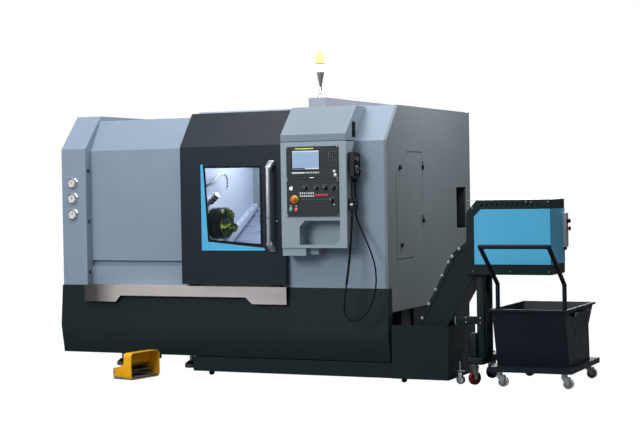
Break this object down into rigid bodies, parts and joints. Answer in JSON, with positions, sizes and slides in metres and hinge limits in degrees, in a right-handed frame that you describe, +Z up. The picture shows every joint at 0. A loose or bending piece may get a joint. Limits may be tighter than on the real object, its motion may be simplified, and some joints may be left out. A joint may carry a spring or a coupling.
{
  "type": "slant bed lathe with chip conveyor, chip cart and foot switch",
  "caption": "Enclosed slant bed lathe with a sliding front door, control column, chip conveyor over a wheeled chip cart, and a foot switch.",
  "frame": {"origin": "centre of the bounding box of the whole set, on the floor", "axes": "+X along the spindle towards the chip conveyor, +Y from the front to the back, +Z up"},
  "size_m": [4.233, 2.3188, 2.51],
  "materials": {
    "grey_paint": "satin",
    "side_paint": "satin",
    "charcoal_paint": "satin",
    "cast_iron": "matte",
    "zinc_steel": "satin",
    "brushed_steel": "brushed",
    "black_plastic": "matte",
    "gauge_steel": "polished",
    "chamber_paint": "satin",
    "hose_metal": "satin",
    "chuck_metal": "machined",
    "door_paint": "satin",
    "window_glass": "clear",
    "cyan_paint": "satin",
    "aluminium": "satin",
    "panel_plastic": "textured",
    "cable_rubber": "matte",
    "tower_plastic": "gloss",
    "box_grey": "satin",
    "cart_paint": "satin",
    "yellow_plastic": "satin",
    "wheel_plastic": "satin",
    "pedal_metal": "cast"
  },
  "bodies": {
    "root": {"bed_casting": "cast_iron", "levelling_feet": "zinc_steel", "front_skirt": "charcoal_paint", "base_skirts": "charcoal_paint", "drip_strip": "brushed_steel", "left_end_cover": "grey_paint", "cover_latches": "black_plastic", "pressure_gauges": "gauge_steel", "headstock_cover": "grey_paint", "headstock_lower_cover": "grey_paint", "rear_housing": "grey_paint", "rear_covers": "grey_paint", "roof_panel": "grey_paint", "door_surround": "grey_paint", "right_front_cover": "grey_paint", "right_side_cover": "side_paint", "right_housing": "side_paint", "chamber_lining": "chamber_paint", "way_cover": "chamber_paint", "spindle_nose": "zinc_steel", "work_lamp": "black_plastic", "coolant_nozzle": "hose_metal", "side_door_hinges": "black_plastic", "air_service_unit": "aluminium", "control_column": "grey_paint", "column_hood": "grey_paint", "display_unit": "panel_plastic", "operator_panel": "panel_plastic", "panel_controls": "black_plastic", "pendant": "black_plastic", "pendant_cable": "cable_rubber", "roof_duct": "grey_paint", "signal_tower": "tower_plastic", "chip_conveyor": "charcoal_paint", "conveyor_head": "charcoal_paint", "head_panels": "cyan_paint", "head_control_box": "box_grey", "conveyor_legs": "charcoal_paint", "coolant_tank": "charcoal_paint", "cart_bin": "cart_paint", "cart_base": "cart_paint", "cart_handle": "cart_paint", "foot_switch_guard": "yellow_plastic"},
    "sliding_door": {"sliding_door": "door_paint", "door_glass": "window_glass", "door_trim": "cyan_paint", "door_handle": "brushed_steel"},
    "side_door": {"side_door": "side_paint"},
    "chuck": {"chuck": "chuck_metal", "chuck_jaws": "chuck_metal"},
    "pedal_front": {"pedal_front": "pedal_metal"},
    "pedal_rear": {"pedal_rear": "pedal_metal"},
    "caster_fork_fl": {"cart_fork_fl": "zinc_steel"},
    "caster_wheel_fl": {"cart_wheel_fl": "wheel_plastic"},
    "caster_fork_fr": {"cart_fork_fr": "zinc_steel"},
    "caster_wheel_fr": {"cart_wheel_fr": "wheel_plastic"},
    "caster_fork_rl": {"cart_fork_rl": "zinc_steel"},
    "caster_wheel_rl": {"cart_wheel_rl": "wheel_plastic"},
    "caster_fork_rr": {"cart_fork_rr": "zinc_steel"},
    "caster_wheel_rr": {"cart_wheel_rr": "wheel_plastic"}
  },
  "joints": [
    {"name": "front_door_slide", "type": "slide", "parent": "root", "child": "sliding_door", "axis": [-1, 0, 0], "range_m": [0, 0.85]},
    {"name": "side_door_hinge", "type": "hinge", "parent": "root", "child": "side_door", "pos_m": [0.7515, 0.00842, 1.3], "axis": [0, 0, 1], "range_deg": [0, 110]},
    {"name": "chuck_spin", "type": "hinge", "parent": "root", "child": "chuck", "pos_m": [-0.8975, -0.38359, 1.183], "axis": [1, 0, 0], "continuous": true},
    {"name": "caster_swivel_fl", "type": "hinge", "parent": "root", "child": "caster_fork_fl", "pos_m": [1.5665, -0.66358, 0.1], "axis": [0, 0, 1], "continuous": true},
    {"name": "caster_roll_fl", "type": "hinge", "parent": "caster_fork_fl", "child": "caster_wheel_fl", "pos_m": [1.5945, -0.66358, 0.0375], "axis": [0, 1, 0], "continuous": true},
    {"name": "caster_swivel_fr", "type": "hinge", "parent": "root", "child": "caster_fork_fr", "pos_m": [2.0465, -0.66358, 0.1], "axis": [0, 0, 1], "continuous": true},
    {"name": "caster_roll_fr", "type": "hinge", "parent": "caster_fork_fr", "child": "caster_wheel_fr", "pos_m": [2.0745, -0.66358, 0.0375], "axis": [0, 1, 0], "continuous": true},
    {"name": "caster_swivel_rl", "type": "hinge", "parent": "root", "child": "caster_fork_rl", "pos_m": [1.5665, -0.00359, 0.1], "axis": [0, 0, 1], "continuous": true},
    {"name": "caster_roll_rl", "type": "hinge", "parent": "caster_fork_rl", "child": "caster_wheel_rl", "pos_m": [1.5945, -0.00359, 0.0375], "axis": [0, 1, 0], "continuous": true},
    {"name": "caster_swivel_rr", "type": "hinge", "parent": "root", "child": "caster_fork_rr", "pos_m": [2.0465, -0.00359, 0.1], "axis": [0, 0, 1], "continuous": true},
    {"name": "caster_roll_rr", "type": "hinge", "parent": "caster_fork_rr", "child": "caster_wheel_rr", "pos_m": [2.0745, -0.00359, 0.0375], "axis": [0, 1, 0], "continuous": true},
    {"name": "pedal_press_front", "type": "hinge", "parent": "root", "child": "pedal_front", "pos_m": [-1.36956, -0.96074, 0.062], "axis": [0.1736, 0.9848, 0], "range_deg": [0, 10], "stiffness_Nm_per_rad": 4, "springref_deg": -11.46},
    {"name": "pedal_press_rear", "type": "hinge", "parent": "root", "child": "pedal_rear", "pos_m": [-1.36956, -0.96074, 0.062], "axis": [0.1736, 0.9848, 0], "range_deg": [0, 10], "stiffness_Nm_per_rad": 4, "springref_deg": -11.46}
  ]
}
